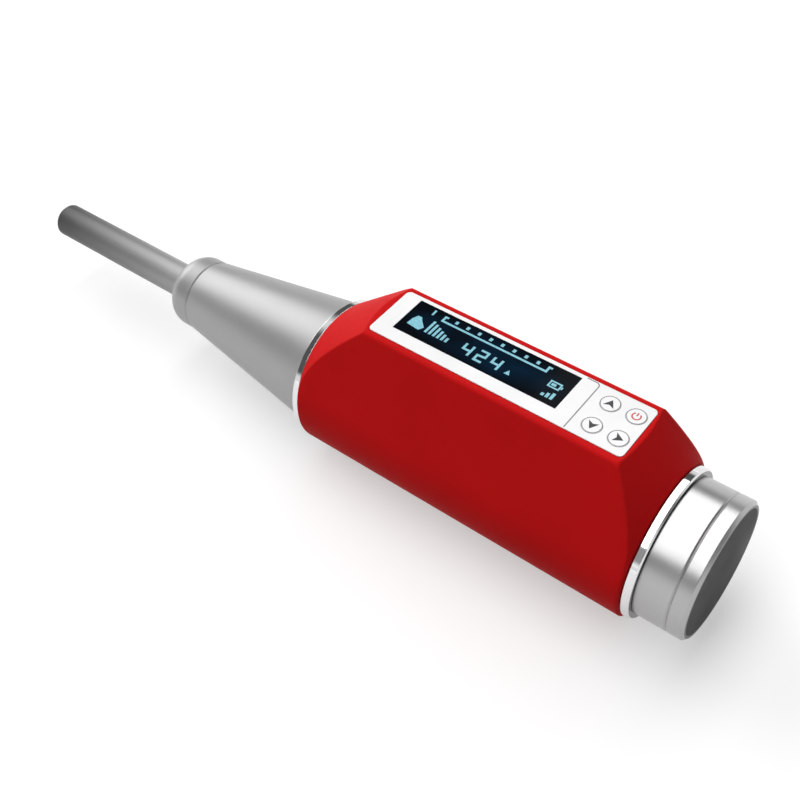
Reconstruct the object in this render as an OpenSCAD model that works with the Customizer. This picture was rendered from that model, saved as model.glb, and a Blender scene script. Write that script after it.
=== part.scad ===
// Concrete test hammer: a spring-driven rebound hammer with a display housing on its back.
// +X runs along the hammer axis from nose to tail, +Z points out of the key panel.
// The origin lies on the axis at the nose, where the free stretch of the plunger ends.

/* [Plunger] */
// Diameter of the plunger
plunger_d = 15; // [13:0.1:16]
// Length of plunger that stands out of the nose at rest
plunger_out = 84; // [80:0.5:110]
// Radius of the domed tip
tip_r = 25; // [18:1:40]

/* [Nose] */
// Diameter of the rounded collar at the nose
collar_d = 31.4; // [29:0.1:36]
// Length of the rounded collar
collar_len = 13.5; // [11:0.1:18]
// Radius of the collar's rounded front edge
collar_round = 7.5; // [4:0.1:7.7]
// Length of the cone behind the collar
cone_len = 72.5; // [64:0.5:84]
// Diameter of the cone at its small end
cone_small_d = 31.8; // [29:0.1:34]
// Step from the housing's bore out to the cone's big end
cap_step = 1; // [0.4:0.1:3]

/* [Housing] */
// Bore through the housing
bore_d = 51; // [48:0.1:56]
// Wall of the round part of the housing
body_wall = 4.5; // [4:0.1:6]
// Length of the housing
body_len = 142.5; // [120:0.5:170]
// Height of the housing's flat top above the axis
top_h = 46; // [42:0.1:52]
// Width of the flat top between its long edges
top_w = 29; // [27:0.1:33]
// Radius along the long edges of the flat top
top_edge_r = 2; // [1:0.1:2.4]
// Rise of the front slope, in degrees
front_slope = 36; // [32:0.5:42]
// Rise of the rear slope, in degrees
rear_slope = 54.3; // [48:0.1:62]
// Step from the housing's bore out to the bright ring at each end
ring_step = 3.5; // [2:0.1:4.2]
// Width of each bright ring
ring_w = 3.5; // [2.5:0.1:5]

/* [Tail] */
// Step from the housing's bore out to the tail cap
tail_step = 1; // [0.6:0.1:3]
// Length of the tail cap behind its ring
tail_len = 18.8; // [16:0.1:22]
// Chamfer around the tail's end
tail_chamfer = 1.2; // [0.5:0.1:1.6]

/* [Key panel] */
// Margin of the flat top beside the white panel
panel_margin = 2.5; // [2.2:0.1:3.4]
// Radius of the panel's corners
panel_corner_r = 1.8; // [0.6:0.1:2]
// Length of panel in front of the display window
window_front = 6.9; // [5:0.1:10]
// Length of panel behind the display window
window_rear = 28.1; // [27:0.1:32]
// Width of panel on the near side of the display window
window_near = 5.5; // [3:0.1:6]
// Width of panel on the far side of the display window
window_far = 1.5; // [1.2:0.1:3]
// Diameter of a key
key_d = 7; // [6:0.1:7.6]
// Distance between keys along the panel
key_pitch_x = 9.7; // [9:0.1:10.2]
// Width of panel beside the keys
key_edge = 2.8; // [2.2:0.1:3.4]
// Travel of a key
key_travel = 0.4; // [0.2:0.05:0.6]

/* [Mechanism] */
// Diameter of the bar that guides the hammer mass
bar_d = 8; // [6:0.1:9]
// Room between the thick back of the hammer mass and the housing's bore
mass_room = 6.1; // [5.6:0.1:8]
// Length of the thick back of the hammer mass
mass_thick_len = 14.2; // [8:0.1:20]
// Length of the trip screw in the tail
trip_screw_len = 17.1; // [13:0.1:20]
// Turn that frees the pawl's hook, in degrees
pawl_open = 11; // [11:0.1:12]
// Travel of the lock button
button_travel = 2; // [1:0.1:2]
// Turns of the impact spring
impact_turns = 14; // [8:1:16]
// Turns of the compression spring
return_turns = 10; // [6:1:12]

/* [Hidden] */
$fn = 96;
over = 1;
touch = 0.05;
run_fit = 0.05;
key_fit = 0.1;
air = 0.3;

red = [0.62, 0.05, 0.05];
aluminium = [0.80, 0.81, 0.82];
bright = [0.88, 0.89, 0.90];
steel = [0.55, 0.56, 0.58];
dark = [0.29, 0.29, 0.30];
white = [0.95, 0.95, 0.95];
black = [0.03, 0.04, 0.05];
green = [0.10, 0.35, 0.18];
felt = [0.35, 0.33, 0.30];
brass = [0.75, 0.60, 0.30];

// Radii worked out from the driving sizes
plunger_r = plunger_d / 2;
collar_r = collar_d / 2;
cone_small_r = cone_small_d / 2;
bore_r = bore_d / 2;
cone_big_r = bore_r + cap_step;
body_r = bore_r + body_wall;
ring_r = bore_r + ring_step;
tail_r = bore_r + tail_step;
key_r = key_d / 2;
bar_r = bar_d / 2;
mass_thick_r = bore_r - mass_room;

// Places along the axis, from nose to tail
nose_gap = 0.5;
x_collar = nose_gap;
x_cone = x_collar + collar_len;
x_ring = x_cone + cone_len;
x_body = x_ring + ring_w;
x_body_end = x_body + body_len;
x_tail = x_body_end + ring_w;
x_end = x_tail + tail_len;

// Plunger, with a narrow groove under the collar's lip behind its free stretch
groove_from = 0.1;
groove_len = 0.8;
groove_in = 0.4;
tip_edge = 0.8;
tip_sag = tip_r - sqrt(tip_r * tip_r - plunger_r * plunger_r);
plunger_tail = 4;
plunger_bore_depth = 40;
bar_in_plunger = 18;

// Nose collar, felt seal and the front cap's neck
collar_lip = 2;
collar_lip_r = plunger_r + nose_gap;
collar_wall = 3.7;
felt_len = 4;
felt_gap = 0.2;
felt_step = 0.6;
neck_r = collar_r - collar_wall - touch;
felt_r = neck_r - felt_step;
collar_flat = 0.4;
collar_edge_r = min(collar_round, collar_r - collar_lip_r - collar_flat);
seam_w = 1.3;
seam_depth = 0.8;
x_neck = x_collar + collar_lip + felt_len + 2 * touch;

// Front cap: bearing, hollow cone and spigot
bearing_r = plunger_r + run_fit;
bearing_tail = 12;
cap_wall = 3.4;
spigot_r = bore_r - touch;
front_spigot_len = 10;
cone_rise = (cone_big_r - cone_small_r) / cone_len;
x_bearing_end = x_cone + bearing_tail;
x_plunger_end = x_bearing_end + plunger_tail;

// Guide sleeve at the bottom of the hollow cone, front seat of the impact spring
sleeve_gap = 0.35;
sleeve_wall = 1.9;
sleeve_foot_len = 6.5;
sleeve_flange_len = 3;
sleeve_flange_step = 0.9;
sleeve_foot_r = cone_small_r + bearing_tail * cone_rise - cap_wall - sleeve_gap;
sleeve_flange_r = sleeve_foot_r + sleeve_flange_step;
sleeve_in_r = sleeve_foot_r - sleeve_wall;
x_impact = x_bearing_end + sleeve_foot_len + sleeve_flange_len + air;

// Hammer mass: slim enough in front to enter the cone, with a groove behind for the pawl's hook
mass_clear = 0.5;
mass_cone_gap = 0.75;
mass_slim_r = sleeve_in_r - mass_clear;
mass_slim_len = (mass_thick_r + mass_cone_gap + cap_wall - cone_small_r) / cone_rise
    - bearing_tail - plunger_tail - air;
mass_neck_len = 3;
mass_hook_len = 2.8;
mass_edge = 0.8;
mass_len = mass_slim_len + mass_thick_len + mass_neck_len + mass_hook_len;

// Guide disk, its nut, and the pawl drawn about its pin with the hook closed
latch_gap = 2;
disk_t = 5;
disk_fit = 0.08;
disk_r = bore_r - disk_fit;
nut_r = 6;
nut_t = 3.7;
pawl_t = 4;
pin_r = 1.5;
pin_seat = 0.02;
pin_from_disk = 4.7;
pin_from_bore = 8;
pawl_pin_z = pin_from_bore - bore_r;
arm_top = 1.3;
arm_bottom = -1.2;
boss_r = 3.3;
trip_front = 3.5;
trip_back = 7;
trip_over_axis = 1.5;
trip_top = trip_over_axis - pawl_pin_z;
hook_gap = 0.5;
hook_depth = 3;
hook_room = 0.7;
mass_hook_r = -pawl_pin_z - arm_top - hook_room;
mass_neck_r = mass_hook_r - hook_depth;
hook_tip = -mass_neck_r - hook_gap - pawl_pin_z;

// The trip screw's tip ends the stroke: the pawl's tail starts one stroke behind the struck plunger
pad_t = 2.2;
screw_head_gap = 0.1;
x_screw_end = x_end - pad_t - screw_head_gap;
x_screw_tip = x_screw_end - trip_screw_len;
stack_len = mass_len + latch_gap + disk_t + pin_from_disk + trip_back + 2 * air;
stroke = (x_screw_tip - x_plunger_end - stack_len) / 2;
x_mass = x_plunger_end + stroke + air;
x_mass_thick = x_mass + mass_slim_len;
x_mass_neck = x_mass_thick + mass_thick_len;
x_mass_hook = x_mass_neck + mass_neck_len;
x_disk = x_mass + mass_len + latch_gap;
x_disk_end = x_disk + disk_t;
x_bar_end = x_disk_end + nut_t;
pawl_pin_x = x_disk_end + pin_from_disk;
hook_front = x_mass_neck + hook_gap - pawl_pin_x;
hook_back = x_mass_hook - hook_gap - pawl_pin_x;

// Cut-outs and lugs of the guide disk
disk_hole_r = 3;
disk_hole_at = (bar_r + bore_r) / 2;
slot_half = 2.4;
slot_step = 1;
slot_from = mass_neck_r - slot_step;
slot_from_bore = 2.7;
slot_to = bore_r - slot_from_bore;
notch_half = 2.2;
notch_from_bore = 2.3;
notch_floor_r = bore_r - notch_from_bore;
lug_t = 2.2;
lug_above = 3.3;
lug_below = 2.5;
lug_behind = 3.2;
lug_len = pin_from_disk + lug_behind;

// Stop ring in two halves, in a groove of the housing's bore
stop_len = 6.5;
stop_in = 2.7;
stop_out = 1;
stop_in_r = bore_r - stop_in;
stop_groove_r = bore_r + stop_out;
stop_gap_bottom = 1;
x_stop = x_disk - air - stop_len;

// Tail cap, its groove line, and the nut that locks the trip screw
tail_wall = 2.7;
tail_in_r = tail_r - tail_wall;
tail_spigot_gap = 0.7;
end_wall = 6;
pad_rim = 2.3;
pad_r = tail_r - pad_rim;
line_from_end = 6;
line_w = 1.1;
line_depth = 0.5;
screw_r = 3;
screw_slot_w = 0.8;
lock_nut_t = 4.3;
x_tail_spigot = x_disk_end + stroke + tail_spigot_gap;
x_end_wall = x_end - end_wall;

// Springs: wire radius, coil radius and ends
impact_wire = 0.9;
impact_gap = 0.8;
impact_coil = cone_small_r + (x_impact - x_cone) * cone_rise - cap_wall - impact_wire - impact_gap;
return_wire = 0.8;
return_from_bore = 2.9;
return_coil = bore_r - return_from_bore;
buffer_wire = 0.6;
buffer_gap = 0.5;
buffer_coil = bar_r - buffer_wire - buffer_gap;
buffer_turns = 6;
pawl_wire = 0.35;
pawl_coil = 2;
pawl_turns = 4;
pawl_spring_gap = 0.25;
pawl_spring_z = pawl_coil + pawl_wire + pawl_spring_gap - slot_from;
pawl_spring_len = pin_from_disk + trip_front * cos(pawl_open)
    - (pawl_spring_z - pawl_pin_z) * sin(pawl_open) - 2 * air;
button_wire = 0.25;
button_gap = 0.75;
button_turns = 2;
wire_sides = 6;
curl_rings = 12;
least_self_gap = 0.4;

// Section of the housing: the flat sides touch the round part and lean in to the top
top_half = top_w / 2;
side_lean = atan2(top_h, top_half) - acos(body_r / norm([top_half, top_h]));
side_touch = body_r * [cos(side_lean), sin(side_lean)];
edge_z = top_h - top_edge_r;
edge_y = (body_r - top_edge_r - edge_z * sin(side_lean)) / cos(side_lean);
edge_out = [edge_y, edge_z] + top_edge_r * [cos(side_lean), sin(side_lean)];
end_edge = 0.6;
spindle_r = norm([top_half, top_h]) + over;

// Key panel, set in the flat top between the two slopes
panel_t = 1.2;
panel_proud = 0.2;
panel_fit = 0.1;
panel_slope_gap = 0.78;
panel_w = top_w - 2 * panel_margin;
panel_reach = norm([panel_w / 2, top_h]) - body_r;
panel_from_front = end_edge + panel_reach / tan(front_slope) + panel_slope_gap;
panel_from_rear = end_edge + panel_reach / tan(rear_slope) + panel_slope_gap;
panel_len = body_len - panel_from_front - panel_from_rear;
x_panel = x_body + panel_from_front;
panel_top = top_h + panel_proud;
recess_floor = panel_top - panel_t;
x_window = x_panel + window_front;
window_len = panel_len - window_front - window_rear;
window_y = window_near - panel_w / 2;
window_w = panel_w - window_near - window_far;
window_sunk = 0.1;
keys_from_end = 4.9;
key_pitch_y = panel_w - 2 * (key_edge + key_r);
x_key_back = x_panel + panel_len - keys_from_end;
x_key_front = x_key_back - key_pitch_x;
key_proud = 0.15;
key_flange_w = 0.75;
key_flange_half = key_r + key_flange_w;
key_flange_cut = 0.5;
key_flange_x_half = key_r - key_flange_cut;
key_flange_t = 0.8;

// Pocket under the panel; boards, display and battery share out its height
pocket_in = 2.5;
pocket_in_rear = 1;
pocket_ledge = 1.4;
pocket_over_bore = 5.5;
pocket_half = panel_w / 2 - pocket_ledge;
pocket_floor = bore_r + pocket_over_bore;
pocket_h = recess_floor - pocket_floor;
x_pocket = x_panel + pocket_in;
pocket_len = panel_len - pocket_in - pocket_in_rear;
battery_share = 0.27;
board_under_share = 0.31;
board_share = 0.11;
switch_share = 0.32;
actuator_share = 0.04;
glass_share = 0.1;
board_z = pocket_floor + board_under_share * pocket_h;
board_t = board_share * pocket_h;
board_gap = 0.3;
board_top = board_z + board_t;
module_past_window = 3;
module_len = window_len + module_past_window;
module_rim = 1.2;
module_glass_t = glass_share * pocket_h;
module_gap = 1.2;
module_half = pocket_half - module_gap;
x_module = x_window - panel_fit;
post_r = 2.2;
post_hole_r = 0.95;
post_from_wall = 3.1;
post_y = pocket_half - post_from_wall;
post_from_front = 2.4;
post_from_module = 3;
post_xs = [x_pocket + post_from_front, x_module + module_len + post_from_module];
board_screw_r = 0.9;
board_screw_head_r = 1.7;
board_screw_head_t = 1.1;
board_screw_len = 5;
switch_half = 2.9;
switch_t = switch_share * pocket_h;
actuator_r = 1.6;
actuator_t = actuator_share * pocket_h;
switch_top = board_top + touch + switch_t + actuator_t;
key_foot = switch_top + key_travel + key_fit;

// Rebound rider on its rod, in a slot between the bore and the pocket
slide_from_spigot = 2;
slide_from_disk = 1.3;
slide_half = 4;
slide_roof = pocket_floor + 2 * air;
x_slide = x_body + front_spigot_len + slide_from_spigot;
slide_len = x_disk - slide_from_disk - x_slide;
rod_r = 1.2;
rod_over_bore = 2.5;
rod_z = bore_r + rod_over_bore;
rod_seat = 3;
rider_from_slide = 2;
rider_len = 8;
rider_side_gap = 0.6;
rider_half = slide_half - rider_side_gap;
rider_under_rod = 1.8;
rider_bottom = rod_z - rider_under_rod;
rider_top = pocket_floor + touch - air;
finger_half = 1.6;
finger_len = 5;
finger_gap = 0.4;
x_rider = x_slide + rider_from_slide;
stop_gap_top = 2 * (slide_half + finger_gap);

// Sensor strip over the rider's slot, and the battery behind it
strip_end = 1.5;
strip_t = 1;
strip_side_gap = 0.5;
strip_half = post_y - post_r - strip_side_gap;
strip_len = x_slide + slide_len + strip_end - x_pocket - board_gap;
battery_t = battery_share * pocket_h;
battery_half = module_half;
battery_round = 1.6;
battery_gap = 2;
x_battery = x_pocket + board_gap + strip_len + battery_gap;
battery_len = post_xs[1] - post_r - battery_gap - x_battery;

// Lock button on the far side of the housing
button_from_end = 42;
button_r = 4;
button_coil = button_r - button_wire - button_gap;
button_pin_r = 1.6;
button_out = 2.5;
bush_r = 6.5;
bush_floor = 1;
bush_over_bore = 1.3;
bush_out = 4;
bush_from = bore_r + bush_over_bore;
bush_to = body_r + bush_out;
bush_edge = 0.5;
button_spring_solid = 1.4;
button_spring_len = button_travel + button_spring_solid;
x_button = x_body_end - button_from_end;
y_bush_floor = bush_from + bush_floor;
y_button = y_bush_floor + button_spring_len;
y_button_pin = bore_r + air + touch;

// Radius of the nose cone at a place along the axis
function cone_at(x) = cone_small_r + (x - x_cone) * cone_rise;

// Round bar along the axis
module rod(x, len, r) {
    translate([x, 0, 0])
        rotate([0, 90, 0])
            cylinder(h = len, r = r);
}

// Tapered bar along the axis
module taper(x, len, r_from, r_to) {
    translate([x, 0, 0])
        rotate([0, 90, 0])
            cylinder(h = len, r1 = r_from, r2 = r_to);
}

// Body turned about the axis from a profile of radius and distance
module turned(x) {
    translate([x, 0, 0])
        rotate([0, 90, 0])
            rotate_extrude()
                children();
}

// Plate in the plane of the axis and the panel's normal, centred on it
module upright_plate(t) {
    rotate([90, 0, 0])
        linear_extrude(height = t, center = true)
            children();
}

// Round bar across the axis, from one distance to another on the far side
module cross_rod(x, z, y_from, y_to, r) {
    translate([x, y_from, z])
        rotate([-90, 0, 0])
            cylinder(h = y_to - y_from, r = r);
}

// Box from its corner, centred across the axis
module slab(x, len, half, z, t) {
    translate([x, -half, z])
        cube([len, 2 * half, t]);
}

// Flat plate with rounded corners, lying under the panel's plane
module rounded_slab(x, len, half, z, t, r) {
    translate([x, 0, z])
        linear_extrude(height = t)
            union() {
                translate([r, -half])
                    square([len - 2 * r, 2 * half]);
                translate([0, r - half])
                    square([len, 2 * (half - r)]);
                for (corner_x = [r, len - r], corner_y = [r - half, half - r])
                    translate([corner_x, corner_y])
                        circle(r = r);
            }
}

// One unbroken wire wound about X, starting at the origin
module coil(len, coil_r, wire_r, turns) {
    steps = turns * curl_rings;
    rise = (len - 2 * wire_r) / steps;
    wire = [for (i = [0:steps], k = [0:wire_sides - 1])
        let (turn = 360 * i / curl_rings, side = 360 * k / wire_sides, r = coil_r + wire_r * cos(side))
            [wire_r + i * rise + wire_r * sin(side), r * cos(turn), r * sin(turn)]];
    walls = [for (i = [0:steps - 1], k = [0:wire_sides - 1])
        let (a = i * wire_sides + k, b = i * wire_sides + (k + 1) % wire_sides)
            each [[a, a + wire_sides, b], [b, a + wire_sides, b + wire_sides]]];
    first = [for (k = [1:wire_sides - 2]) [0, k, k + 1]];
    last_at = steps * wire_sides;
    last = [for (k = [1:wire_sides - 2]) [last_at, last_at + k + 1, last_at + k]];
    self_gap = rise * curl_rings - 2 * wire_r;
    echo(least_gap = self_gap, wanted = least_self_gap);
    polyhedron(points = wire, faces = concat(walls, first, last));
}

// Section of the housing across the axis
module housing_section() {
    circle(r = body_r);
    polygon([
        [0, 0], side_touch, edge_out, [edge_y, top_h],
        [-edge_y, top_h], [-edge_out[0], edge_out[1]], [-side_touch[0], side_touch[1]]
    ]);
    for (side = [-1, 1])
        translate([side * edge_y, edge_z])
            circle(r = top_edge_r);
}

// Double cone that slopes the housing down to its round ends
module housing_spindle() {
    front_run = (spindle_r - body_r) / tan(front_slope);
    rear_run = (spindle_r - body_r) / tan(rear_slope);
    turned(x_body)
        polygon([
            [0, 0], [body_r - end_edge, 0], [body_r, end_edge], [spindle_r, end_edge + front_run],
            [spindle_r, body_len - end_edge - rear_run], [body_r, body_len - end_edge],
            [body_r - end_edge, body_len], [0, body_len]
        ]);
}

// Posts that carry the main board
module board_posts() {
    for (x = post_xs, side = [-1, 1])
        translate([x, side * post_y, pocket_floor - over])
            cylinder(h = board_z - touch - pocket_floor + over, r = post_r);
}

module housing() {
    color(red)
        difference() {
            union() {
                difference() {
                    intersection() {
                        translate([x_body, 0, 0])
                            rotate([90, 0, 90])
                                linear_extrude(height = body_len)
                                    housing_section();
                        housing_spindle();
                    }
                    slab(x_pocket, pocket_len, pocket_half, pocket_floor, panel_top);
                }
                board_posts();
            }
            rod(x_body - over, body_len + 2 * over, bore_r);
            rod(x_stop - touch, stop_len + 2 * touch, stop_groove_r);
            rounded_slab(x_panel - panel_fit, panel_len + 2 * panel_fit, panel_w / 2 + panel_fit,
                recess_floor - touch, panel_t + over, panel_corner_r);
            slab(x_slide, slide_len, slide_half, 0, slide_roof);
            translate([0, 0, rod_z])
                rod(x_slide - rod_seat - touch, slide_len + 2 * (rod_seat + touch), rod_r + touch);
            cross_rod(x_button, 0, 0, bush_to, bush_r + touch);
            for (x = post_xs, side = [-1, 1])
                translate([x, side * post_y, board_top - board_screw_len])
                    cylinder(h = board_screw_len, r = post_hole_r);
        }
}

module face_panel() {
    color(white)
        difference() {
            rounded_slab(x_panel, panel_len, panel_w / 2, recess_floor, panel_t, panel_corner_r);
            translate([x_window, window_y, 0])
                cube([window_len, window_w, panel_top + over]);
            for (x = [x_key_front, x_key_back], side = [-1, 1])
                translate([x, side * key_pitch_y / 2, 0])
                    cylinder(h = panel_top + over, r = key_r + key_fit);
        }
}

module display_window() {
    color(black)
        translate([x_window + touch, window_y + touch, recess_floor])
            cube([window_len - 2 * touch, window_w - 2 * touch, panel_t - window_sunk]);
}

module display_module() {
    frame_t = recess_floor - touch - board_top - touch;
    color(dark)
        difference() {
            slab(x_module, module_len, module_half, board_top + touch, frame_t);
            slab(x_module + module_rim, module_len - 2 * module_rim, module_half - module_rim,
                recess_floor - touch - module_glass_t, module_glass_t + over);
        }
}

module main_board() {
    color(green)
        difference() {
            slab(x_pocket + board_gap, pocket_len - 2 * board_gap, pocket_half - board_gap,
                board_z, board_t);
            for (x = post_xs, side = [-1, 1])
                translate([x, side * post_y, board_z - over])
                    cylinder(h = board_t + 2 * over, r = post_hole_r);
        }
}

module sensor_strip() {
    color(green)
        slab(x_pocket + board_gap, strip_len, strip_half, pocket_floor + touch, strip_t);
}

module switch_block() {
    color(black)
        for (x = [x_key_front, x_key_back], side = [-1, 1])
            translate([x, side * key_pitch_y / 2, board_top + touch]) {
                translate([-switch_half, -switch_half, 0])
                    cube([2 * switch_half, 2 * switch_half, switch_t]);
                cylinder(h = switch_t + actuator_t, r = actuator_r);
            }
}

module battery_pack() {
    color(steel)
        rounded_slab(x_battery, battery_len, battery_half, pocket_floor + touch,
            battery_t, battery_round);
}

module board_screws() {
    color(steel)
        for (x = post_xs, side = [-1, 1])
            translate([x, side * post_y, board_top]) {
                translate([0, 0, touch])
                    cylinder(h = board_screw_head_t, r = board_screw_head_r);
                translate([0, 0, touch - board_screw_len])
                    cylinder(h = board_screw_len, r = board_screw_r);
            }
}

// Bright ring between the housing and a cap
module end_ring(x) {
    color(bright)
        turned(x)
            polygon([
                [bore_r, touch], [ring_r - end_edge, touch], [ring_r, end_edge],
                [ring_r, ring_w - end_edge], [ring_r - end_edge, ring_w - touch], [bore_r, ring_w - touch]
            ]);
}

module front_ring() {
    end_ring(x_ring);
}

module rear_ring() {
    end_ring(x_body_end);
}

module front_cap() {
    x_spigot_end = x_body + front_spigot_len;
    hollow_r = cone_big_r - cap_wall;
    color(aluminium)
        difference() {
            union() {
                rod(x_neck, x_cone - x_neck + over, neck_r);
                taper(x_cone, cone_len, cone_small_r, cone_big_r);
                rod(x_ring - over, x_spigot_end - x_ring + over, spigot_r);
            }
            rod(x_neck - over, x_bearing_end - x_neck + 2 * over, bearing_r);
            taper(x_bearing_end, x_ring - x_bearing_end, cone_at(x_bearing_end) - cap_wall, hollow_r);
            rod(x_ring - touch, x_spigot_end - x_ring + over, hollow_r);
        }
}

module nose_collar() {
    color(aluminium)
        difference() {
            turned(x_collar)
                difference() {
                    union() {
                        translate([0, collar_edge_r])
                            square([collar_r, collar_len - collar_edge_r - touch]);
                        square([collar_r - collar_edge_r, collar_len - touch]);
                        translate([collar_r - collar_edge_r, collar_edge_r])
                            circle(r = collar_edge_r);
                    }
                    polygon([
                        [collar_r + over, collar_len - seam_w * (1 + over / seam_depth)],
                        [collar_r - seam_depth, collar_len], [collar_r - seam_depth, collar_len + over],
                        [collar_r + over, collar_len + over]
                    ]);
                }
            rod(x_collar - over, collar_lip + 2 * over, collar_lip_r);
            rod(x_collar + collar_lip, felt_len, felt_r + touch);
            rod(x_collar + collar_lip + felt_len, collar_len, neck_r + touch);
        }
}

module felt_seal() {
    color(felt)
        difference() {
            rod(x_collar + collar_lip + touch, felt_len - 2 * touch, felt_r);
            rod(x_collar, collar_len, plunger_r + felt_gap);
        }
}

module guide_sleeve() {
    color(brass)
        difference() {
            union() {
                rod(x_bearing_end + touch, sleeve_foot_len, sleeve_foot_r);
                rod(x_bearing_end + sleeve_foot_len, sleeve_flange_len, sleeve_flange_r);
            }
            rod(x_bearing_end, sleeve_foot_len + sleeve_flange_len + over, sleeve_in_r);
        }
}

module stop_ring() {
    color(steel)
        difference() {
            rod(x_stop, stop_len, stop_groove_r - touch);
            rod(x_stop - over, stop_len + 2 * over, stop_in_r);
            slab(x_stop - over, stop_len + 2 * over, stop_gap_top / 2, 0, body_r);
            slab(x_stop - over, stop_len + 2 * over, stop_gap_bottom / 2, -body_r, body_r);
        }
}

module rider_rod() {
    color(steel)
        translate([0, 0, rod_z])
            rod(x_slide - rod_seat, slide_len + 2 * rod_seat, rod_r);
}

module tail_cap() {
    color(aluminium)
        difference() {
            union() {
                rod(x_tail_spigot, x_tail - x_tail_spigot + over, spigot_r);
                turned(x_tail)
                    polygon([
                        [0, 0], [tail_r, 0],
                        [tail_r, tail_len - line_from_end - line_w],
                        [tail_r - line_depth, tail_len - line_from_end - line_w / 2],
                        [tail_r, tail_len - line_from_end],
                        [tail_r, tail_len - tail_chamfer], [tail_r - tail_chamfer, tail_len],
                        [0, tail_len]
                    ]);
            }
            rod(x_tail_spigot - over, x_end_wall - x_tail_spigot + over, tail_in_r);
            rod(x_end - pad_t - touch, pad_t + over, pad_r + touch);
            rod(x_end_wall - over, end_wall + over, screw_r + touch);
        }
}

module trip_screw() {
    color(steel)
        difference() {
            rod(x_screw_tip, x_screw_end - x_screw_tip, screw_r);
            slab(x_screw_end - screw_slot_w, screw_slot_w + over, screw_slot_w / 2,
                -screw_r, 2 * screw_r);
        }
}

module lock_nut() {
    color(steel)
        difference() {
            translate([x_end_wall - lock_nut_t - touch, 0, 0])
                rotate([0, 90, 0])
                    cylinder(h = lock_nut_t, r = nut_r, $fn = 6);
            rod(x_end_wall - 2 * lock_nut_t, 2 * lock_nut_t, screw_r + touch);
        }
}

module end_pad() {
    color(dark)
        rod(x_end - pad_t, pad_t, pad_r);
}

module button_bush() {
    color(steel)
        difference() {
            union() {
                cross_rod(x_button, 0, bush_from, bush_to - bush_edge, bush_r);
                cross_rod(x_button, 0, bush_from, bush_to, bush_r - bush_edge);
            }
            cross_rod(x_button, 0, y_bush_floor, bush_to + over, button_r + key_fit);
            cross_rod(x_button, 0, bush_from - over, bush_to, button_pin_r + key_fit);
        }
}

module plunger() {
    x_tip_edge = tip_sag + tip_edge - plunger_out;
    color(steel)
        difference() {
            intersection() {
                difference() {
                    rod(-plunger_out, plunger_out + x_plunger_end, plunger_r);
                    turned(groove_from)
                        translate([plunger_r - groove_in, 0])
                            square([groove_in + over, groove_len]);
                }
                translate([tip_r - plunger_out, 0, 0])
                    union() {
                        sphere(r = tip_r);
                        rod(0, x_plunger_end + plunger_out, tip_r);
                    }
                union() {
                    taper(x_tip_edge - plunger_r, plunger_r, 0, plunger_r);
                    rod(x_tip_edge, x_plunger_end - x_tip_edge, plunger_r);
                    rod(-plunger_out, x_tip_edge + plunger_out, plunger_r - tip_edge);
                }
            }
            rod(x_plunger_end - plunger_bore_depth, plunger_bore_depth + over, bar_r + touch);
        }
}

module guide_bar() {
    color(steel)
        rod(x_plunger_end - bar_in_plunger, x_bar_end - x_plunger_end + bar_in_plunger, bar_r);
}

// Two lugs behind the guide disk that carry the pawl's pin
module pawl_lugs() {
    for (side = [-1, 1])
        translate([x_disk_end - over, side * (slot_half + lug_t / 2) - lug_t / 2, pawl_pin_z - lug_below])
            cube([lug_len + over, lug_t, lug_above + lug_below]);
}

module guide_disk() {
    color(steel)
        difference() {
            union() {
                rod(x_disk, disk_t, disk_r);
                pawl_lugs();
            }
            rod(x_disk - over, disk_t + 2 * over, bar_r + touch);
            slab(x_disk - over, disk_t + 2 * over, slot_half, -slot_to, slot_to - slot_from);
            translate([x_disk - over, notch_floor_r, -notch_half])
                cube([disk_t + 2 * over, bore_r, 2 * notch_half]);
            for (turn = [45, 135])
                rotate([turn, 0, 0])
                    translate([0, disk_hole_at, 0])
                        rod(x_disk - over, disk_t + 2 * over, disk_hole_r);
            cross_rod(pawl_pin_x, pawl_pin_z, -bore_r, bore_r, pin_r + pin_seat);
        }
}

module bar_nut() {
    color(steel)
        difference() {
            translate([x_disk_end + touch, 0, 0])
                rotate([0, 90, 0])
                    cylinder(h = nut_t - touch, r = nut_r, $fn = 6);
            rod(x_disk_end, nut_t + over, bar_r + touch);
        }
}

module pawl_pin() {
    pin_half = slot_half + lug_t;
    color(bright)
        cross_rod(pawl_pin_x, pawl_pin_z, -pin_half, pin_half, pin_r);
}

module hammer_mass() {
    slim_to = mass_slim_len;
    thick_to = slim_to + mass_thick_len;
    neck_to = thick_to + mass_neck_len;
    hook_to = neck_to + mass_hook_len;
    color(steel)
        difference() {
            turned(x_mass)
                polygon([
                    [0, 0], [mass_slim_r - mass_edge, 0], [mass_slim_r, mass_edge],
                    [mass_slim_r, slim_to],
                    [mass_thick_r - mass_edge, slim_to], [mass_thick_r, slim_to + mass_edge],
                    [mass_thick_r, thick_to - mass_edge], [mass_thick_r - mass_edge, thick_to],
                    [mass_neck_r, thick_to], [mass_neck_r, neck_to], [mass_hook_r, neck_to],
                    [mass_hook_r, hook_to - mass_edge], [mass_hook_r - mass_edge, hook_to], [0, hook_to]
                ]);
            rod(x_mass - over, hook_to + 2 * over, bar_r + run_fit);
        }
}

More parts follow.
